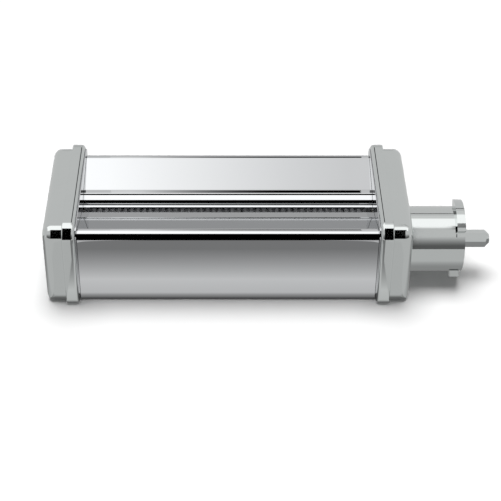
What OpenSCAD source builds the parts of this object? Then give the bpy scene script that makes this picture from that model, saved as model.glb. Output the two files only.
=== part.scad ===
// Pasta cutter attachment for a stand mixer: two interleaved cutter rollers in a
// steel frame, folded chrome covers, moulded end caps and a bayonet drive hub.
// Millimetres. +X runs along the rollers towards the drive hub, -Y is the front, +Z is up.
// The origin is at the middle of the bounding box, on the resting plane.

/* [Body] */
// Clear width between the two side plates
inner_width = 152.8; // [149:0.1:165]
// Depth of the end cap flange, front to back
cap_depth = 83; // [78:0.5:86]
// Height of the end cap flange
cap_height = 48; // [46:0.5:52]
// Thickness of the end cap flange along the rollers
flange_t = 6.5; // [5:0.5:8]
// Thickness of the smaller outer part of the end cap
dome_t = 10.3; // [9.5:0.1:12]
// Step from the flange down to the outer part of the cap
dome_inset = 2.2; // [1.5:0.1:3]
// Wall of the moulded end caps
cap_wall = 2.5; // [2:0.1:3]
// Thickness of the steel side plates
plate_t = 2.5; // [2:0.1:3]
// Thickness of the folded cover sheets
sheet_t = 0.8; // [0.6:0.1:0.9]

/* [Cutters] */
// Width of one noodle pair, from disc to disc on one roller
disc_pitch = 3.33; // [3.3:0.01:3.33]
// Number of cutting discs on each roller
disc_count = 44; // [30:1:44]
// Side clearance between meshing discs
disc_gap = 0.1; // [0.08:0.01:0.15]
// Radius of the cutting discs
disc_r = 12.8; // [12.4:0.1:12.9]
// Radius of the roller core between the discs
core_r = 9.9; // [9:0.1:9.9]
// Distance between the two roller axes
axis_gap = 23; // [23:1:23]
// Height of the roller axes above the resting plane
axis_z = 20.7; // [20.2:0.1:21]

/* [Drive hub] */
// Radius of the hub barrel that enters the mixer outlet
barrel_r = 17; // [16.5:0.1:17.5]
// Length of the hub from the end cap to its outer face
barrel_len = 28.3; // [26:0.1:34]
// Outer radius of the bayonet lugs
lug_r = 20.5; // [19.5:0.1:21]
// Thickness of the bayonet lugs
lug_t = 4.4; // [3.5:0.1:5]
// Width across flats of the hexagonal drive end
hex_flats = 8; // [7.5:0.1:8.5]
// Length of drive shaft that stands out of the hub
hex_len = 14.9; // [10:0.1:18]

/* [Hidden] */
$fn = 64;
FINE = 32; // facets of the smallest round details

// colours
chrome = [0.80, 0.81, 0.82];
cap_chrome = [0.72, 0.74, 0.73];
steel = [0.62, 0.63, 0.65];
dark_steel = [0.42, 0.43, 0.45];
zinc = [0.74, 0.74, 0.70];
nylon = [0.90, 0.89, 0.84];
bronze = [0.72, 0.55, 0.30];

// positions along the rollers, measured from the middle of the body
wall_x = inner_width / 2;
flange_in_x = wall_x + 0.6;
flange_x = flange_in_x + flange_t;
cap_x = flange_x + dome_t;
cavity_x = cap_x - cap_wall;
hub_x = cap_x + barrel_len;
tip_x = hub_x + hex_len;
body_x = -(tip_x - cap_x) / 2; // places the bounding box about the origin

// small clearances
skin = 0.1; // between fitted pieces of the frame
run = 0.05; // radial clearance of a running fit
eps = 0.01; // makes a cutter pass its face
lap = 0.02; // overlap of the flats of a folded sheet with its bends

axis_y = axis_gap / 2;
mid_z = cap_height / 2;

// end cap
flange_r = 8.1;
dome_r = 6.2;
flange_edge = 2; // rounding of the flange towards the covers
flange_rim = 0.5; // and towards the outer part of the cap
dome_edge = 4.6;
foot_r = 4.2; // lower corners of the caps
dome_foot_z = 0.3; // underside of the outer part of the cap
dome_height = cap_height - dome_inset - dome_foot_z;
screw_pocket_r = 2.6; // recess for a cap screw head
cavity_depth = cap_depth - 2 * dome_inset - 2 * cap_wall;
cavity_height = cap_height - 2 * dome_inset - 2 * cap_wall;
cavity_r = 3;
seat_rim = 2.5; // rim of the flange around the side plate
hub_seat_r = barrel_r + 0.6;
neck_r = 10.8;

// side plate
plate_depth = cap_depth - 2 * seat_rim - 2 * skin;
plate_height = cap_height - 2 * seat_rim - 2 * skin;
plate_r = 4.5;
tab_y = 20;
tab_w = 10;
tab_t = 2;
tab_len = 10.4;
tab_z = dome_inset + cap_wall + skin;

// frame rods
rod_r = 3.5;
rod_y = 30.5;
rod_low_z = 9;
rod_high_z = 33;
stud_r = 2;
stud_len = 5.2;
nut_flats = 7;
nut_t = 3.2;
washer_t = 0.5;

// roller journals and bushes
journal_r = 6;
bush_r = 8;
bush_flange_r = 9.6;
bush_flange_t = 1;
shoulder_x = wall_x - 0.5;
gear_seat_r = 5;
gear_x = wall_x + plate_t + bush_flange_t + 0.6;
gear_t = 6;
clip_t = 0.8;
clip_x = gear_x + gear_t + 0.1;
spindle_end_x = clip_x + clip_t + 0.6;
groove_r = 4.2;
clip_r = 7.2;
key_w = 2;
key_rise = 1.2; // how far a key stands out of its shaft

// timing gears
gear_module = 1;
gear_teeth = 23;
pressure_angle = 20;
backlash = 0.16;

// drive shaft
hex_turn = 45.6; // rest angle of the hexagon, a flat facing front and up
chamfer = 2.3;
coupling_w = 4; // thickness of the tang in the roller slot
coupling_x = wall_x + 1;
shaft_x = wall_x + 6;
shaft_r = 6.5;
collar_x = cap_x + 2;
hub_bush_r = 8.2;
hub_wall = 2.8;
hub_end_t = 4.5;
hub_plate_x = wall_x + plate_t + skin;
hub_plate_t = 3.4;
hub_bolt_circle_r = 14.5;
hub_plate_r = 17.6;

// bayonet lugs, as start and end angles above the front horizontal
main_lug = [47.6, 124];
catch_lug = [39, 44.7];
rear_lug = [200, 232];
low_lug = [-66, -52];
catch_r = barrel_r + 1.3;
low_lug_t = 4.8;
low_lug_inset = 0.8;

// fasteners
m3_r = 1.5;
m3_head_r = 2.2;
m3_head_t = 1.4;
m4_r = 2;
m4_head_r = 3.2;
m4_head_t = 2.2;

// cover sheet mid-lines in (y, z), from the outlet edge round to the inlet lip
cover_low_y = 8.2; // edge of the outlet
cover_low_z = 3.5;
bead_in = [33.6, 33.9]; // a bead along the lower edge nearly reaches the table
bead_low_z = 0.75;
bead_bend_r = 0.8;
cover_bend_r = 4.2;

front_y = 36.6;
front_top_z = 43.3;
front_fold = [-13.1, 35.2]; // where the slope turns into the lip
front_lip = [-6.8, 33.95];
front_lip_end_z = 33.1;
lip_bend_r = 0.8;
front_line = [[-cover_low_y, cover_low_z], [-bead_in[0], cover_low_z], [-bead_in[1], bead_low_z],
              [-front_y, bead_low_z], [-front_y, front_top_z],
              front_fold, front_lip, [front_lip.x, front_lip_end_z]];
front_bends = [0, bead_bend_r, bead_bend_r, bead_bend_r, cover_bend_r, 3, lip_bend_r, 0];

// the rear lip flattens, steps down at a crease and ends in a low ledge
rear_y = 37.2;
rear_top_z = 42.85;
rear_bend_r = 4.2;
rear_flat = [9.9, 36.25];
rear_step = [7.05, 36.08];
rear_step_foot = [6.7, 35.42];
rear_lip = [3.22, 34.16];
ledge = [2.41, 31.93];
ledge_edge = [1.13, 31.47];
flat_bend_r = 8;
step_bend_r = 0.6;
rear_lip_bend_r = 2.4;
ledge_bend_r = 0.6;
rear_line = [[cover_low_y, cover_low_z], [bead_in[0], cover_low_z], [bead_in[1], bead_low_z],
             [rear_y, bead_low_z], [rear_y, rear_top_z],
             rear_flat, rear_step, rear_step_foot, rear_lip, ledge, ledge_edge];
rear_bends = [0, bead_bend_r, bead_bend_r, bead_bend_r, rear_bend_r, flat_bend_r,
              step_bend_r, step_bend_r, rear_lip_bend_r, ledge_bend_r, 0];

// combs
comb_t = 1.2;
comb_foot = [7.2, 4.6]; // bottom of the blade, mirrored for the rear comb
comb_tip = [4.1, 12.8];
comb_spine_len = 3.5;
comb_foot_y = 19;
comb_screw_x = [-55, 0, 55];
comb_tooth_w = 1.2;
comb_screw_y = 16.5;
cover_screw_x = [-62, 62];

// ---------------------------------------------------------------- helpers

// places a shape drawn in (y, z), extruded along +X from x
module at_x(x, y = 0, z = 0) {
    translate([x + body_x, y, z]) rotate([90, 0, 90]) children();
}

// the same on both ends of the body
module mirror_end(side) {
    translate([body_x, 0, 0]) mirror([side < 0 ? 1 : 0, 0, 0]) translate([-body_x, 0, 0]) children();
}

module rounded_rect(w, h, r) {
    square([w - 2 * r, h], center = true);
    square([w, h - 2 * r], center = true);
    for (sx = [-1, 1], sy = [-1, 1])
        translate([sx * (w / 2 - r), sy * (h / 2 - r)]) circle(r);
}

// half section of a slab edge: radius r, thickness t, edges rounded by lo and hi
module edge_section(r, t, lo, hi) {
    union() {
        translate([0, lo]) square([r, t - lo - hi]);
        square([r - max(lo, hi), t]);
        if (lo > 0) {
            square([r - lo, lo + eps]);
            translate([r - lo, lo]) intersection() {
                circle(lo);
                translate([0, -lo]) square([lo, lo + eps]);
            }
        }
        if (hi > 0) {
            translate([0, t - hi - eps]) square([r - hi, hi + eps]);
            translate([r - hi, t - hi]) intersection() {
                circle(hi);
                translate([0, -eps]) square([hi, hi + eps]);
            }
        }
    }
}

// rounded rectangular slab lying on z = 0 with rounded lower and upper edges
module rounded_slab(w, h, r, t, lo, hi) {
    cx = w / 2 - r;
    cy = h / 2 - r;
    translate([-cx, -cy, 0]) cube([2 * cx, 2 * cy, t]);
    for (sx = [-1, 1], sy = [-1, 1])
        translate([sx * cx, sy * cy, 0]) rotate_extrude() edge_section(r, t, lo, hi);
    for (a = [0, 180]) rotate([0, 0, a]) {
        translate([cx, cy, 0]) rotate([90, 0, 0]) linear_extrude(2 * cy) edge_section(r, t, lo, hi);
        translate([-cx, cy, 0]) rotate([90, 0, 90]) linear_extrude(2 * cx) edge_section(r, t, lo, hi);
    }
}

// the same with smaller lower corners, of radius low_r
module footed_slab(w, h, r, low_r, t, lo, hi) {
    reach = h + 1;
    intersection() {
        translate([0, -r, 0]) rounded_slab(w, h + 2 * r, r, t, lo, hi);
        translate([0, 0, -1]) linear_extrude(t + 2) {
            translate([-w / 2, low_r - h / 2]) square([w, h]);
            translate([low_r - w / 2, -h / 2]) square([w - 2 * low_r, h]);
            for (s = [-1, 1]) translate([s * (w / 2 - low_r), low_r - h / 2]) circle(low_r);
        }
        translate([-w / 2 - 1, reach - h / 2, 0]) mirror([0, 1, 0]) rotate([90, 0, 90])
            linear_extrude(w + 2) edge_section(reach, t, lo, hi);
    }
}

function unit(v) = v / norm(v);

// straight strip of sheet from a to b
module strip(a, b, t) {
    translate(a) rotate(atan2(b.y - a.y, b.x - a.x)) translate([0, -t / 2]) square([norm(b - a), t]);
}

// round bend of mid-line radius r at corner p between directions u (in) and v (out)
module bend(p, u, v, r, t) {
    turn = acos(u * v);
    reach = r * tan(turn / 2);
    centre = p + unit(v - u) * r / cos(turn / 2);
    start = p - u * reach - centre;
    finish = p + v * reach - centre;
    translate(centre) intersection() {
        difference() {
            circle(r + t / 2);
            circle(r - t / 2);
        }
        polygon([[0, 0], start * 4, (start + finish) * 4, finish * 4]);
    }
}

// folded sheet section along a mid-line with a bend radius at each point
module folded_section(line, bends, t) {
    n = len(line);
    dir = [for (i = [0 : n - 2]) unit(line[i + 1] - line[i])];
    cut = [for (i = [0 : n - 1])
        (i == 0 || i == n - 1) ? 0 : bends[i] * tan(acos(dir[i - 1] * dir[i]) / 2)];
    for (i = [0 : n - 2])
        strip(line[i] + dir[i] * (cut[i] - (i > 0 ? lap : 0)),
              line[i + 1] - dir[i] * (cut[i + 1] - (i < n - 2 ? lap : 0)), t);
    for (i = [1 : n - 2])
        bend(line[i], dir[i - 1], dir[i], bends[i], t);
}

// tube along the local z axis
module tube(r_out, r_in, len) {
    difference() {
        cylinder(r = r_out, h = len);
        translate([0, 0, -1]) cylinder(r = r_in, h = len + 2);
    }
}

// pan head screw, head below z = 0 and shank rising from it
module pan_screw(r, head_r, head_t, len) {
    cylinder(r = r, h = len, $fn = FINE);
    translate([0, 0, -head_t]) difference() {
        cylinder(r = head_r, h = head_t, $fn = FINE);
        for (a = [0, 90]) rotate([0, 0, a])
            translate([-head_r * 0.55, -0.4, -1]) cube([head_r * 1.1, 0.8, 1 + head_t * 0.6]);
    }
}

// ring with an opening, as a spring clip
module spring_clip(r_out, r_in, t) {
    linear_extrude(t) difference() {
        circle(r_out, $fn = FINE);
        circle(r_in, $fn = FINE);
        translate([0, -r_in * 0.55]) square([r_out + 1, r_in * 1.1]);
    }
}

// ---------------------------------------------------------------- gears

function involute(a) = tan(a) - a * PI / 180;

// polar points of one tooth flank: [radius, half angle]
function flank(rp, rb, rt, half, steps) = [
    for (i = [0 : steps])
        let (r = rb + (rt - rb) * i / steps, a = acos(rb / r))
        [r, half + (involute(pressure_angle) - involute(a)) * 180 / PI]
];

module gear_section(teeth, m) {
    rp = m * teeth / 2;
    rb = rp * cos(pressure_angle);
    rt = rp + m;
    rr = rp - 1.25 * m;
    half = 90 / teeth - backlash / 2 / rp * 180 / PI;
    side = flank(rp, rb, rt, half, 5);
    n = len(side);
    polygon([
        for (k = [0 : teeth - 1])
            let (c = k * 360 / teeth, foot = side[0][1] + 0.6)
            each concat(
                [[rr * cos(c - foot), rr * sin(c - foot)]],
                [for (s = side) [s[0] * cos(c - s[1]), s[0] * sin(c - s[1])]],
                [for (i = [n - 1 : -1 : 0]) let (s = side[i]) [s[0] * cos(c + s[1]), s[0] * sin(c + s[1])]],
                [[rr * cos(c + foot), rr * sin(c + foot)]]
            )
    ]);
}

// ---------------------------------------------------------------- casing

// moulded cap: flange and domed outer part, hollow, open towards the side plate
module end_cap(side) {
    color(cap_chrome) mirror_end(side) difference() {
        union() {
            at_x(flange_in_x, 0, mid_z)
                footed_slab(cap_depth, cap_height, flange_r, foot_r, flange_t, flange_edge, flange_rim);
            at_x(wall_x + 2, 0, dome_foot_z + dome_height / 2)
                footed_slab(cap_depth - 2 * dome_inset, dome_height,
                            dome_r, foot_r, cap_x - wall_x - 2, 0, dome_edge);
            if (side > 0)
                at_x(cavity_x - 4, -axis_y, axis_z) cylinder(r = hub_seat_r, h = cap_x - cavity_x + 4);
        }
        at_x(wall_x - 1, 0, mid_z) linear_extrude(cavity_x - wall_x + 1)
            rounded_rect(cavity_depth, cavity_height, cavity_r);
        at_x(wall_x - 1, 0, mid_z) linear_extrude(1 + plate_t)
            rounded_rect(cap_depth - 2 * seat_rim, cap_height - 2 * seat_rim, plate_r);
        if (side > 0)
            at_x(cavity_x - 5, -axis_y, axis_z) cylinder(r = neck_r + skin, h = 20);
        for (y = [-tab_y, tab_y]) translate([cap_screw_x(), y, 0]) {
            cylinder(r = m3_r + skin, h = tab_z, $fn = FINE);
            translate([0, 0, -1]) cylinder(r = screw_pocket_r, h = 1 + dome_inset, $fn = FINE);
        }
    }
}

function cap_screw_x() = body_x + wall_x + plate_t + tab_len - 3.2;

module left_end_cap() end_cap(-1);
module right_end_cap() end_cap(1);

// steel plate that carries the roller bushes, with two bent tabs for the cap screws
module side_plate(side) {
    color(steel) mirror_end(side) difference() {
        union() {
            at_x(wall_x, 0, mid_z) linear_extrude(plate_t) rounded_rect(plate_depth, plate_height, plate_r);
            for (y = [-tab_y, tab_y])
                translate([body_x + wall_x + plate_t - eps, y - tab_w / 2, tab_z])
                    cube([tab_len + eps, tab_w, tab_t]);
        }
        for (y = [-axis_y, axis_y])
            at_x(wall_x - 1, y, axis_z) cylinder(r = bush_r, h = plate_t + 2);
        for (y = [-rod_y, rod_y], z = [rod_low_z, rod_high_z])
            at_x(wall_x - 1, y, z) cylinder(r = stud_r + skin, h = plate_t + 2, $fn = FINE);
        for (y = [-tab_y, tab_y])
            translate([cap_screw_x(), y, tab_z - 1]) cylinder(r = m3_r, h = tab_t + 2, $fn = FINE);
        if (side > 0)
            for (a = [45 : 90 : 315])
                at_x(wall_x - 1, -axis_y, axis_z) rotate([0, 0, a]) translate([hub_bolt_circle_r, 0, 0])
                    cylinder(r = m4_r, h = plate_t + 2, $fn = FINE);
    }
}

module left_side_plate() side_plate(-1);
module right_side_plate() side_plate(1);

// folded chrome sheet with holes for the screws underneath
module cover(line, bends, sign) {
    difference() {
        at_x(-wall_x + skin) linear_extrude(inner_width - 2 * skin) folded_section(line, bends, sheet_t);
        for (x = cover_screw_x)
            translate([body_x + x, sign * rod_y, 0]) cylinder(r = m3_r + skin, h = 6, $fn = FINE);
        for (x = comb_screw_x)
            translate([body_x + x, sign * comb_screw_y, 0]) cylinder(r = m3_r + skin, h = 6, $fn = FINE);
    }
}

module front_cover() color(chrome) cover(front_line, front_bends, -1);
module rear_cover() color(chrome) cover(rear_line, rear_bends, 1);

// ---------------------------------------------------------------- frame

module tie_rods() color(steel)
    for (y = [-rod_y, rod_y], z = [rod_low_z, rod_high_z]) difference() {
        union() {
            at_x(-wall_x + run, y, z) cylinder(r = rod_r, h = inner_width - 2 * run);
            at_x(-wall_x - plate_t - stud_len, y, z)
                cylinder(r = stud_r, h = 2 * (wall_x + plate_t + stud_len), $fn = FINE);
        }
        if (z == rod_low_z)
            for (x = cover_screw_x)
                translate([body_x + x, y, rod_low_z - rod_r - 1])
                    cylinder(r = m3_r, h = rod_r + 2, $fn = FINE);
    }

// places its children at the eight stud ends
module at_studs(x) {
    for (side = [-1, 1], y = [-rod_y, rod_y], z = [rod_low_z, rod_high_z])
        mirror_end(side) at_x(wall_x + x, y, z) children();
}

module tie_rod_washers() color(zinc)
    at_studs(plate_t + run) tube(washer_outer_r(), stud_r + skin, washer_t);

function washer_outer_r() = nut_flats / 2 + 0.4;

module tie_rod_nuts() color(zinc)
    at_studs(plate_t + 2 * run + washer_t) difference() {
        cylinder(r = nut_flats / 2 / cos(30), h = nut_t, $fn = 6);
        translate([0, 0, -1]) cylinder(r = stud_r + run, h = nut_t + 2, $fn = FINE);
    }

module cover_screws() color(zinc)
    for (x = cover_screw_x, y = [-rod_y, rod_y])
        translate([body_x + x, y, cover_low_z - sheet_t / 2])
            pan_screw(m3_r - run, m3_head_r, m3_head_t, rod_low_z - rod_r + 3 - cover_low_z);

// ---------------------------------------------------------------- cutter rollers

function disc_x(i) = (i - (disc_count - 1) / 2) * disc_pitch;
disc_w = disc_pitch / 2 - disc_gap;

// core with cutting discs; shift moves the discs along the axis
module cutter_body(shift) {
    union() {
        at_local(-shoulder_x) cylinder(r = core_r, h = 2 * shoulder_x);
        for (i = [0 : disc_count - 1])
            at_local(disc_x(i) + shift - disc_w / 2) cylinder(r = disc_r, h = disc_w);
    }
}

module at_local(z) translate([0, 0, z]) children();

// left spindle with the gear seat, a key slot and a clip groove
module gear_spindle() {
    difference() {
        union() {
            at_local(-gear_x + run) cylinder(r = journal_r, h = gear_x - shoulder_x);
            at_local(-spindle_end_x) cylinder(r = gear_seat_r, h = spindle_end_x - gear_x + 1);
        }
        at_local(-clip_x - clip_t - run) tube(gear_seat_r + 1, groove_r, clip_t + 2 * run);
        at_local(-clip_x) translate([gear_seat_r - key_w / 2, -key_w / 2, 0])
            cube([key_w, key_w, clip_x - gear_x - 0.3]);
    }
}

module roller_at(y) at_x(0, y, axis_z) children();

module front_cutter_roller() color(dark_steel) roller_at(-axis_y) union() {
    cutter_body(-disc_pitch / 4);
    gear_spindle();
    difference() {
        at_local(shoulder_x - eps) cylinder(r = journal_r, h = shaft_x - shoulder_x - run);
        translate([-journal_r - 1, -coupling_w / 2 - run, coupling_x])
            cube([2 * journal_r + 2, coupling_w + 2 * run, 10]);
    }
}

module rear_cutter_roller() color(dark_steel) roller_at(axis_y) union() {
    cutter_body(disc_pitch / 4);
    gear_spindle();
    difference() {
        at_local(shoulder_x - eps) cylinder(r = journal_r, h = rear_end_x() - shoulder_x);
        at_local(rear_clip_x() - run) tube(journal_r + 1, journal_r - 1, clip_t + 2 * run);
    }
}

function rear_clip_x() = wall_x + plate_t + bush_flange_t + 0.2;
function rear_end_x() = rear_clip_x() + clip_t + 1;

module journal_bush(side, y) color(nylon) mirror_end(side) at_x(wall_x, y, axis_z) difference() {
    union() {
        cylinder(r = bush_r - run / 2, h = plate_t + run);
        translate([0, 0, plate_t + run]) cylinder(r = bush_flange_r, h = bush_flange_t - run);
    }
    translate([0, 0, -1]) cylinder(r = journal_r + run, h = plate_t + bush_flange_t + 2);
}

module left_front_bush() journal_bush(-1, -axis_y);
module left_rear_bush() journal_bush(-1, axis_y);
module right_front_bush() journal_bush(1, -axis_y);
module right_rear_bush() journal_bush(1, axis_y);

// thin discs that keep the roller shoulders off the side plates
module thrust_washers(y) color(nylon)
    for (side = [-1, 1]) mirror_end(side)
        at_x(shoulder_x + run, y, axis_z)
            tube(core_r - 0.3, journal_r + skin, wall_x - shoulder_x - 2 * run);

module front_thrust_washers() thrust_washers(-axis_y);
module rear_thrust_washers() thrust_washers(axis_y);

module timing_gear(y) color(dark_steel) roller_at(y) at_local(-gear_x - gear_t) difference() {
    linear_extrude(gear_t) gear_section(gear_teeth, gear_module);
    at_local(-1) cylinder(r = gear_seat_r + run / 2, h = gear_t + 2);
    translate([0, -key_w / 2 - run / 2, -1]) cube([gear_seat_r + key_rise + run, key_w + run, gear_t + 2]);
}

module front_timing_gear() timing_gear(-axis_y);
module rear_timing_gear() timing_gear(axis_y);

module gear_key(y) color(steel) roller_at(y)
    translate([gear_seat_r - key_w / 2 + run, -key_w / 2 + run / 2, -gear_x - gear_t])
        cube([key_w / 2 + key_rise - run, key_w - run, gear_t - 0.4]);

module front_gear_key() gear_key(-axis_y);
module rear_gear_key() gear_key(axis_y);

module gear_clip(y) color(dark_steel) roller_at(y) at_local(-clip_x - clip_t)
    spring_clip(clip_r, groove_r + run / 2, clip_t);

module front_gear_clip() gear_clip(-axis_y);
module rear_gear_clip() gear_clip(axis_y);

module rear_journal_clip() color(dark_steel) roller_at(axis_y) at_local(rear_clip_x())
    spring_clip(journal_r + 2, journal_r - 1 + run / 2, clip_t);

// ---------------------------------------------------------------- combs

// blade with teeth that reach into the grooves, and a foot screwed to the cover
module comb(sign, shift) {
    foot = [sign * comb_foot.x, comb_foot.y];
    tip = [sign * comb_tip.x, comb_tip.y];
    along = unit(tip - foot);
    difference() {
        union() {
            at_x(-wall_x + 1) linear_extrude(inner_width - 2) {
                strip(foot, foot + along * comb_spine_len, comb_t);
                translate([sign > 0 ? comb_foot.x - 0.4 : -comb_foot_y, comb_foot.y - comb_t / 2])
                    square([comb_foot_y - comb_foot.x + 0.4, comb_t - 0.2]);
            }
            for (i = [0 : disc_count - 1])
                at_x(disc_x(i) + shift - comb_tooth_w / 2) linear_extrude(comb_tooth_w)
                    strip(foot, tip, comb_t);
        }
        for (x = comb_screw_x)
            translate([body_x + x, sign * comb_screw_y, 0]) cylinder(r = m3_r, h = 8, $fn = FINE);
    }
}

module front_comb() color(steel) comb(-1, disc_pitch / 4);
module rear_comb() color(steel) comb(1, -disc_pitch / 4);

module comb_screws() color(zinc)
    for (x = comb_screw_x, y = [-comb_screw_y, comb_screw_y])
        translate([body_x + x, y, cover_low_z - sheet_t / 2])
            pan_screw(m3_r - run, m3_head_r, m3_head_t, 2);

// ---------------------------------------------------------------- drive hub

// angle in the (y, z) plane of a point whose normal leans up by a from the front
function from_front(a) = 180 - a;

// sector of the bayonet ring between two angles above the front horizontal
module lug_sector(r_in, r_out, a0, a1) {
    reach = r_out * 1.3;
    mid = (a0 + a1) / 2;
    intersection() {
        difference() {
            circle(r_out);
            circle(r_in);
        }
        polygon([[0, 0],
            for (a = [a0, (a0 + mid) / 2, mid, (mid + a1) / 2, a1])
                [reach * cos(from_front(a)), reach * sin(from_front(a))]]);
    }
}

// die-cast hub: mounting plate, bearing tube, skirt, end wall and bayonet lugs
module drive_hub() {
    plate_end = hub_plate_x + hub_plate_t;
    color(cap_chrome) {
        difference() {
            union() {
                at_x(hub_plate_x, -axis_y, axis_z) linear_extrude(hub_plate_t) intersection() {
                    circle(hub_plate_r);
                    square([2 * hub_plate_r + 2, 2 * hub_plate_height()], center = true);
                }
                at_x(0, -axis_y, axis_z) {
                    at_local(plate_end - eps) cylinder(r = neck_r, h = hub_x - hub_end_t - plate_end + 1);
                    at_local(cap_x + skin) tube(barrel_r, barrel_r - hub_wall, barrel_len - skin);
                    at_local(hub_x - hub_end_t) cylinder(r = barrel_r, h = hub_end_t);
                    at_local(hub_x - lug_t) linear_extrude(lug_t) {
                        lug_sector(barrel_r - 1, lug_r, main_lug[0], main_lug[1]);
                        lug_sector(barrel_r - 1, lug_r, rear_lug[0], rear_lug[1]);
                        lug_sector(barrel_r - 1, catch_r, catch_lug[0], catch_lug[1]);
                    }
                    at_local(hub_x - low_lug_t - low_lug_inset) linear_extrude(low_lug_t)
                        lug_sector(barrel_r - 1, lug_r - 0.4, low_lug[0], low_lug[1]);
                }
            }
            at_x(0, -axis_y, axis_z) {
                at_local(hub_plate_x - 1) cylinder(r = hub_bush_r, h = hub_x);
                at_local(hub_plate_x - 1) cylinder(r = bush_flange_r + 0.3, h = 1 + bush_flange_t + 0.2);
                at_local(hub_plate_x - 1) {
                    for (a = [45 : 90 : 315]) rotate([0, 0, a]) translate([hub_bolt_circle_r, 0, 0])
                        cylinder(r = m4_r + skin, h = hub_plate_t + 2, $fn = FINE);
                    translate([axis_gap, 0, 0]) cylinder(r = bush_flange_r + 0.4, h = hub_plate_t + 2);
                }
            }
        }
    }
}

function hub_plate_height() = axis_z - tab_z - tab_t - 0.6;

module hub_screws() color(zinc)
    for (a = [45 : 90 : 315])
        at_x(hub_plate_x + hub_plate_t, -axis_y, axis_z) rotate([0, 0, a])
            translate([hub_bolt_circle_r, 0, 0]) mirror([0, 0, 1])
                pan_screw(m4_r - run, m4_head_r, m4_head_t, hub_plate_t + plate_t - 0.3);

// plain bearing bush inside the hub, from x0 to x1
module hub_bush(x0, x1) color(bronze)
    at_x(x0, -axis_y, axis_z) tube(hub_bush_r - run / 2, shaft_r + run, x1 - x0);

module hub_inner_bush() hub_bush(hub_plate_x + 4, collar_x - washer_t - 2 * run);
module hub_outer_bush() hub_bush(collar_x + clip_t + 0.3, hub_x - 0.5);

// tang, journal with a collar groove, and hexagonal end with a turned chamfer
module drive_shaft() color(steel) at_x(0, -axis_y, axis_z) {
    corner_r = hex_flats / 2 / cos(30);
    union() {
        intersection() {
            at_local(coupling_x + run) cylinder(r = journal_r - run, h = shaft_x - coupling_x + 1);
            translate([-journal_r, -coupling_w / 2, coupling_x + run])
                cube([2 * journal_r, coupling_w, shaft_x - coupling_x]);
        }
        difference() {
            at_local(shaft_x) cylinder(r = shaft_r, h = hub_x - shaft_x + 0.2);
            at_local(collar_x - run) tube(shaft_r + 1, shaft_r - 1, clip_t + 2 * run);
        }
        intersection() {
            at_local(hub_x) rotate([0, 0, hex_turn]) cylinder(r = corner_r, h = hex_len, $fn = 6);
            at_local(hub_x - 1) rotate_extrude() polygon([
                [0, 0], [corner_r + run, 0], [corner_r + run, hex_len + 1 - chamfer],
                [corner_r + run - chamfer, hex_len + 1], [0, hex_len + 1]]);
        }
    }
}

module shaft_washer() color(nylon)
    at_x(collar_x - washer_t - run, -axis_y, axis_z) tube(hub_bush_r - 0.3, shaft_r + skin, washer_t - run);

module shaft_clip() color(dark_steel)
    at_x(collar_x, -axis_y, axis_z) spring_clip(shaft_r + 1.4, shaft_r - 1 + run / 2, clip_t);

// ---------------------------------------------------------------- cap screws

module cap_screws(side) color(zinc) mirror_end(side)
    for (y = [-tab_y, tab_y])
        translate([cap_screw_x(), y, dome_inset - run])
            pan_screw(m3_r - run, m3_head_r, m3_head_t, tab_z + 1.5 - dome_inset);

module left_cap_screws() cap_screws(-1);
module right_cap_screws() cap_screws(1);

// ---------------------------------------------------------------- nodes

left_end_cap();
right_end_cap();
left_side_plate();
right_side_plate();
front_cover();
rear_cover();
front_cutter_roller();
rear_cutter_roller();
front_comb();
rear_comb();
comb_screws();
tie_rods();
tie_rod_washers();
tie_rod_nuts();
cover_screws();
left_front_bush();
left_rear_bush();
right_front_bush();
right_rear_bush();
front_thrust_washers();
rear_thrust_washers();
front_timing_gear();
rear_timing_gear();
front_gear_key();
rear_gear_key();
front_gear_clip();
rear_gear_clip();
rear_journal_clip();
drive_hub();
hub_screws();
hub_inner_bush();
hub_outer_bush();
drive_shaft();
shaft_washer();
shaft_clip();
left_cap_screws();
right_cap_screws();
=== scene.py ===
"""Looks of the pasta cutter attachment: camera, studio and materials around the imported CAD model."""
import math

import bpy
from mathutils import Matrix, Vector


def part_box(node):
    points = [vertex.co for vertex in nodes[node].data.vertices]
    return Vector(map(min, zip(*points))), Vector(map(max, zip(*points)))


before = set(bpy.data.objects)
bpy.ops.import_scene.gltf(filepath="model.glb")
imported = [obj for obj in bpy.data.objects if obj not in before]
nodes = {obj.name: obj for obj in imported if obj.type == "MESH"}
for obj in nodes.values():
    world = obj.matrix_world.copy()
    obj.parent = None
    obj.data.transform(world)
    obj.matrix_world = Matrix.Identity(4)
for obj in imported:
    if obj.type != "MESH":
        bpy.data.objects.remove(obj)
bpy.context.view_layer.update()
scene = bpy.context.scene
scene.view_settings.view_transform = "Standard"

MM = 0.001

# ------------------------------------------------------------------ places taken from the frame

left_low, left_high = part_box("left_end_cap")
right_low, right_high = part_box("right_end_cap")
body_x = (left_low.x + right_high.x) / 2  # middle of the casing, without the drive hub

# ------------------------------------------------------------------ camera

CAMERA_RISE = math.radians(37.93)
CAMERA_DISTANCE = 0.7975
AIM = Vector((body_x - 0.44 * MM, 0.0, 3.6 * MM))
SENSOR_WIDTH = 36.0  # millimetres, like the lens
LENS = 106.35
SHIFT_X = 0.0469


def add_camera():
    data = bpy.data.cameras.new("camera")
    data.sensor_width = SENSOR_WIDTH
    data.lens = LENS
    data.shift_x = SHIFT_X
    data.clip_start, data.clip_end = 0.05, 20.0
    camera = bpy.data.objects.new("camera", data)
    back = Vector((0.0, -math.cos(CAMERA_RISE), math.sin(CAMERA_RISE)))
    camera.location = AIM + back * CAMERA_DISTANCE
    camera.rotation_euler = (math.radians(90.0) - CAMERA_RISE, 0.0, 0.0)
    scene.collection.objects.link(camera)
    scene.camera = camera


# ------------------------------------------------------------------ studio

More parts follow.
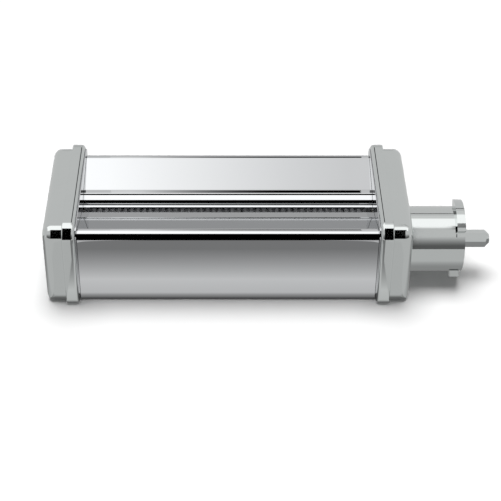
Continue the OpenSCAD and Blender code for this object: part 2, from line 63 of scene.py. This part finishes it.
# radii of the vault and of the cards inside it, metres
VAULT_RADIUS = 1.0
CARD_RADIUS = 0.9
FLAG_RADIUS = CARD_RADIUS * 0.98
HORIZON_RADIUS = CARD_RADIUS * 0.97
# faces round the arc of every card
ROWS = 48


def tone(level):
    """Linear light of a grey that shows as this 0 to 255 level."""
    s = level / 255.0
    return s / 12.92 if s <= 0.04045 else ((s + 0.055) / 1.055) ** 2.4


def glow_material(name, strength):
    material = bpy.data.materials.new(name)
    material.use_nodes = True
    tree = material.node_tree
    tree.nodes.clear()
    paint = tree.nodes.new("ShaderNodeVertexColor")
    paint.layer_name = "glow"
    glow = tree.nodes.new("ShaderNodeEmission")
    glow.inputs["Strength"].default_value = strength
    output = tree.nodes.new("ShaderNodeOutputMaterial")
    tree.links.new(paint.outputs["Color"], glow.inputs["Color"])
    tree.links.new(glow.outputs[0], output.inputs["Surface"])
    return material


def add_glow_sheet(name, us, vs, place, level, strength=2.0):
    """A sheet that only reflections see: place(u, v) gives a point, level(u, v) its 0 to 1 light."""
    points = [place(u, v) for v in vs for u in us]
    n = len(us)
    faces = [(j * n + i, j * n + i + 1, (j + 1) * n + i + 1, (j + 1) * n + i)
             for j in range(len(vs) - 1) for i in range(n - 1)]
    mesh = bpy.data.meshes.new(name)
    mesh.from_pydata(points, [], faces)
    paint = mesh.color_attributes.new("glow", "FLOAT_COLOR", "POINT")
    for k, (u, v) in enumerate((u, v) for v in vs for u in us):
        light = level(u, v) / strength
        paint.data[k].color = (light, light, light, 1.0)
    mesh.materials.append(glow_material(name, strength))
    sheet = bpy.data.objects.new(name, mesh)
    sheet.visible_camera = False
    sheet.visible_diffuse = False
    sheet.visible_shadow = False
    sheet.visible_transmission = False
    scene.collection.objects.link(sheet)


def steps(a, b, count):
    return [a + (b - a) * i / count for i in range(count + 1)]


def add_arc_card(name, angles, xs, level, radius=CARD_RADIUS, columns=24):
    """Part of a vault along the rollers. angles in degrees up from the front, xs from the body's middle."""
    def place(x, a):
        turn = math.radians(a)
        return (body_x + x, -radius * math.cos(turn), radius * math.sin(turn))
    add_glow_sheet(name, steps(*xs, columns), steps(*angles, ROWS), place, level)


def mix(a, b, t):
    t = max(0.0, min(1.0, t))
    return a + (b - a) * t


# share of the light that falls on chrome and comes back from it
CHROME = 0.79


def seen(level):
    """Light of a card that shows in chrome as this 0 to 255 level."""
    return tone(level) / CHROME


def along(curve, t):
    """Straight fades between the (t, value) points of a curve, even before and after them."""
    for (t0, v0), (t1, v1) in zip(curve, curve[1:]):
        if t <= t1:
            return mix(v0, v1, (t - t0) / (t1 - t0))
    return curve[-1][1]


# levels of the room, against degrees up from the front: dim low down in front, even everywhere else
ROOM = ((12, 85), (42, 186))
# levels of the soft box overhead and of its rear strip, against millimetres along the rollers
OVER = ((-90, 255), (190, 250))
BEHIND = ((-150, 255), (120, 200))
# degrees up from the front: the soft box's edges, its soft border, where its rear strip starts and fades in
SOFT_BOX = (72.5, 128.0)
SOFT_BORDER = 6
BORDER_SHARE = 0.72
STRIP_START = 108
STRIP_FADE = 4
# the flag behind: its level at the thin end, where the cloth starts and the length it closes over, metres
BACK_FLAG_THIN = 205
BACK_FLAG_START = -0.10
BACK_FLAG_FADE = 0.16


def room(x, a):
    return seen(along(ROOM, a))


def soft_box(x, a):
    level = mix(along(OVER, x / MM), along(BEHIND, x / MM), (a - STRIP_START) / STRIP_FADE)
    inside = min(a - SOFT_BOX[0], SOFT_BOX[1] - a)
    return seen(level) * mix(BORDER_SHARE, 1.0, inside / SOFT_BORDER)


def back_flag(x, a):
    """Dark cloth behind the soft box, thinner towards its left end."""
    return seen(mix(BACK_FLAG_THIN, 0, (x - BACK_FLAG_START) / BACK_FLAG_FADE))


def even(level):
    """A card with the same level all over."""
    return lambda x, a: seen(level)


def add_vault():
    add_arc_card("room", (-1.0, 181.0), (-1.5, 1.5), room, VAULT_RADIUS, 60)
    add_arc_card("soft_box", SOFT_BOX, (-0.8, 0.8), soft_box)
    add_arc_card("black_flag", (-1.0, 79.5), (-0.21, 0.199), even(0), FLAG_RADIUS)
    add_arc_card("back_flag", (130.0, 148.5), (-0.13, 0.149), back_flag)
    add_arc_card("soft_box_rim", (132.5, 135.0), (0.192, 0.8), even(0))
    add_arc_card("lip_card", (158.0, 169.0), (-0.21, 0.19), even(154))
    add_arc_card("horizon", (149.4, 150.7), (-0.21, 0.19), even(150), HORIZON_RADIUS)
    add_arc_card("small_flag", (68.0, 81.0), (0.245, 0.4), even(115), FLAG_RADIUS)


# levels of the tabletop as the metal sees it, against millimetres in front of the rollers' mid-plane
# in all three the low first levels, next to and under the body, are the body's shadow painted onto the
# tabletop sheet, seen only in reflections
TABLE_FRONT = ((37, 60), (43, 178), (54, 188), (80, 113))
TABLE_CAPS = ((39, 90), (46, 172))
TABLE_HUB = ((20, 110), (44, 176))
TABLE_BEHIND = 186
# how far the covers' and the caps' parts of the tabletop reach from the body's middle, millimetres
COVER_REACH = 84
CAP_REACH = 95
GLOW_DEPTH = 0.02 * MM
FLOOR_DEPTH = 0.05 * MM


# light of the tabletop sheet as the metal sees it, with the body's shadow painted in next to and under the
# body
def tabletop(x, y):
    front = -y / MM
    if y > 0:
        return seen(TABLE_BEHIND)
    if abs(x) / MM < COVER_REACH:
        return seen(along(TABLE_FRONT, front))
    if abs(x) / MM < CAP_REACH:
        return seen(along(TABLE_CAPS, front))
    return seen(along(TABLE_HUB, front))


# a glowing sheet just above the floor that reflections meet instead of the floor: a painted reflection of
# the tabletop, painted shadow included
def add_tabletop_glow():
    def place(x, y):
        return (body_x + x, y, -GLOW_DEPTH)
    near, far = COVER_REACH * MM, CAP_REACH * MM
    edge = 0.2 * MM
    right = [0.03, near - edge, near + edge, far - edge, far + edge, 0.2, 0.5, 1.5]
    xs = [-x for x in reversed(right)] + right
    ys = [-1.0, -0.6, -0.3, -0.2, -0.14] + steps(-0.1, -0.03, 70) + [-0.001, 0.001, 0.036, 0.5, 1.0]
    add_glow_sheet("tabletop_glow", xs, ys, place, tabletop)


def add_floor():
    mesh = bpy.data.meshes.new("floor")
    reach = 3.0
    mesh.from_pydata([(-reach, -reach, 0), (reach, -reach, 0), (reach, reach, 0), (-reach, reach, 0)],
                     [], [(0, 1, 2, 3)])
    floor = bpy.data.objects.new("floor", mesh)
    floor.location.z = -FLOOR_DEPTH
    scene.collection.objects.link(floor)
    material = bpy.data.materials.new("floor")
    material.use_nodes = True
    shader = material.node_tree.nodes["Principled BSDF"]
    shader.inputs["Base Color"].default_value = (0.88, 0.88, 0.88, 1.0)
    shader.inputs["Roughness"].default_value = 0.8
    shader.inputs["Specular IOR Level"].default_value = 0.1
    mesh.materials.append(material)


def add_key(elevation, from_left, spread, strength):
    """Soft overhead light, angles in degrees. elevation is up from the front, past 90 from behind."""
    data = bpy.data.lights.new("key", "SUN")
    data.angle = math.radians(spread)
    data.energy = strength
    light = bpy.data.objects.new("key", data)
    light.rotation_euler = (math.radians(90 - elevation), math.radians(-from_left), 0.0)
    light.visible_glossy = False
    scene.collection.objects.link(light)


def add_world(sky, reflected):
    """White for the soft light, a quiet grey in reflections."""
    world = bpy.data.worlds.new("world")
    scene.world = world
    world.use_nodes = True
    tree = world.node_tree
    background = tree.nodes["Background"]
    path = tree.nodes.new("ShaderNodeLightPath")
    choose = tree.nodes.new("ShaderNodeMix")
    choose.data_type = "RGBA"
    choose.inputs["A"].default_value = (sky, sky, sky, 1.0)
    choose.inputs["B"].default_value = (reflected, reflected, reflected, 1.0)
    tree.links.new(path.outputs["Is Glossy Ray"], choose.inputs["Factor"])
    tree.links.new(choose.outputs["Result"], background.inputs["Color"])


add_camera()
add_floor()
add_world(sky=0.2, reflected=seen(182))
add_vault()
add_tabletop_glow()
add_key(elevation=101, from_left=4, spread=40, strength=3.2)

# ------------------------------------------------------------------ materials


class Recipe:
    """Small helper that builds the node tree of one material."""

    def __init__(self, name):
        self.material = bpy.data.materials.get(name) or bpy.data.materials.new(name)
        self.material.use_nodes = True
        self.tree = self.material.node_tree
        self.tree.nodes.clear()
        self.shader = self.add("ShaderNodeBsdfPrincipled")
        output = self.add("ShaderNodeOutputMaterial")
        self.link(self.shader.outputs["BSDF"], output.inputs["Surface"])
        self.place = self.add("ShaderNodeTexCoord").outputs["Object"]

    def add(self, kind, **settings):
        node = self.tree.nodes.new(kind)
        for key, value in settings.items():
            setattr(node, key, value)
        return node

    def link(self, a, b):
        self.tree.links.new(a, b)

    def stretched(self, scale):
        mapping = self.add("ShaderNodeMapping")
        mapping.inputs["Scale"].default_value = scale
        self.link(self.place, mapping.inputs["Vector"])
        return mapping.outputs["Vector"]

    def noise(self, scale, detail=3.0, roughness=0.5, stretch=None):
        """Noise whose features are about 1/scale metres across, stretched along an axis if asked."""
        node = self.add("ShaderNodeTexNoise")
        node.inputs["Scale"].default_value = scale
        node.inputs["Detail"].default_value = detail
        node.inputs["Roughness"].default_value = roughness
        self.link(self.stretched(stretch) if stretch else self.place, node.inputs["Vector"])
        return node.outputs["Fac"]

    def ramp(self, value, low, high, dark, light):
        """Maps value between low and high to a number between dark and light."""
        node = self.add("ShaderNodeMapRange")
        node.inputs["From Min"].default_value = low
        node.inputs["From Max"].default_value = high
        node.inputs["To Min"].default_value = dark
        node.inputs["To Max"].default_value = light
        self.link(value, node.inputs["Value"])
        return node.outputs["Result"]

    def blend(self, factor, a, b):
        node = self.add("ShaderNodeMix", data_type="RGBA")
        node.inputs["A"].default_value = (*a, 1.0)
        if isinstance(b, tuple):
            node.inputs["B"].default_value = (*b, 1.0)
        else:
            self.link(b, node.inputs["B"])
        self.link(factor, node.inputs["Factor"])
        return node.outputs["Result"]

    def bump(self, height, distance, strength=1.0, below=None):
        node = self.add("ShaderNodeBump")
        node.inputs["Distance"].default_value = distance
        node.inputs["Strength"].default_value = strength
        self.link(height, node.inputs["Height"])
        if below:
            self.link(below, node.inputs["Normal"])
        return node.outputs["Normal"]

    def surface(self, colour, roughness, normal=None, metallic=1.0):
        self.link(colour, self.shader.inputs["Base Color"])
        self.link(roughness, self.shader.inputs["Roughness"])
        if normal:
            self.link(normal, self.shader.inputs["Normal"])
        self.shader.inputs["Metallic"].default_value = metallic
        return self.shader


def bright_chrome():
    m = Recipe("bright_chrome")
    cloud = m.noise(18, 2)
    smudge = m.noise(60, 5, 0.6)
    scratch = m.noise(900, 2, 0.5, (0.04, 1.0, 1.0))
    sheet = m.noise(26, 1, 0.4, (0.5, 1.0, 1.0))
    colour = m.blend(cloud, (0.80, 0.81, 0.82), (0.77, 0.785, 0.80))
    rough = m.ramp(smudge, 0.45, 0.8, 0.014, 0.03)
    wave = m.bump(sheet, 0.02 * MM)
    m.surface(colour, rough, m.bump(scratch, 0.0002 * MM, 0.3, wave))


def satin_chrome():
    m = Recipe("satin_chrome")
    cloud = m.noise(30, 3)
    cast = m.noise(450, 4, 0.6)
    peel = m.noise(160, 2)
    colour = m.blend(cloud, (0.75, 0.775, 0.765), (0.70, 0.73, 0.725))
    rough = m.ramp(cast, 0.3, 0.7, 0.035, 0.06)
    m.surface(colour, rough, m.bump(peel, 0.004 * MM, 0.5))


def steel():
    m = Recipe("steel")
    brushed = m.noise(1400, 3, 0.6, (0.03, 1.0, 1.0))
    cloud = m.noise(50, 4)
    colour = m.blend(cloud, (0.60, 0.61, 0.63), (0.52, 0.53, 0.55))
    rough = m.ramp(brushed, 0.3, 0.7, 0.2, 0.36)
    m.surface(colour, rough, m.bump(brushed, 0.004 * MM, 0.6))


def hard_steel():
    m = Recipe("hard_steel")
    turned = m.noise(2600, 3, 0.6, (1.0, 0.02, 0.02))
    cloud = m.noise(90, 4)
    colour = m.blend(cloud, (0.58, 0.59, 0.61), (0.48, 0.485, 0.50))
    rough = m.ramp(turned, 0.3, 0.7, 0.25, 0.42)
    m.surface(colour, rough, m.bump(turned, 0.003 * MM, 0.5))


def spring_steel():
    m = Recipe("spring_steel")
    cloud = m.noise(300, 4)
    grain = m.noise(3000, 3, 0.6)
    colour = m.blend(cloud, (0.10, 0.10, 0.11), (0.17, 0.16, 0.16))
    rough = m.ramp(grain, 0.3, 0.7, 0.28, 0.42)
    m.surface(colour, rough, m.bump(grain, 0.003 * MM, 0.4))


def zinc_plate():
    m = Recipe("zinc_plate")
    tint = m.noise(220, 3)
    crystal = m.noise(1800, 3, 0.6)
    colour = m.blend(tint, (0.72, 0.73, 0.74), (0.68, 0.67, 0.60))
    rough = m.ramp(crystal, 0.3, 0.7, 0.22, 0.38)
    m.surface(colour, rough, m.bump(crystal, 0.004 * MM, 0.5))


def nylon():
    m = Recipe("nylon")
    cloud = m.noise(120, 3)
    grain = m.noise(2500, 3, 0.6)
    colour = m.blend(cloud, (0.83, 0.81, 0.74), (0.76, 0.74, 0.66))
    rough = m.ramp(grain, 0.3, 0.7, 0.4, 0.55)
    m.surface(colour, rough, m.bump(grain, 0.006 * MM, 0.5), 0.0)


def bronze():
    m = Recipe("bronze")
    pores = m.noise(2200, 4, 0.7)
    cloud = m.noise(150, 3)
    dark = m.ramp(pores, 0.52, 0.7, 0.0, 1.0)
    base = m.blend(cloud, (0.66, 0.46, 0.22), (0.56, 0.38, 0.18))
    mixed = m.add("ShaderNodeMix", data_type="RGBA")
    m.link(dark, mixed.inputs["Factor"])
    m.link(base, mixed.inputs["A"])
    mixed.inputs["B"].default_value = (0.16, 0.10, 0.05, 1.0)
    rough = m.ramp(pores, 0.3, 0.7, 0.3, 0.55)
    m.surface(mixed.outputs["Result"], rough, m.bump(pores, -0.01 * MM, 0.6))


def polished_steel():
    m = Recipe("polished_steel")
    cloud = m.noise(40, 3)
    buffed = m.noise(700, 3, 0.6, (1.0, 0.05, 1.0))
    colour = m.blend(cloud, (0.70, 0.71, 0.72), (0.64, 0.65, 0.665))
    rough = m.ramp(buffed, 0.3, 0.7, 0.05, 0.1)
    m.surface(colour, rough, m.bump(buffed, 0.0006 * MM, 0.5))


for make in (bright_chrome, satin_chrome, steel, hard_steel, spring_steel, zinc_plate, nylon, bronze,
             polished_steel):
    make()

for name in ("left_side_plate", "right_side_plate"):
    for slot in nodes[name].material_slots:
        slot.material = bpy.data.materials["polished_steel"]
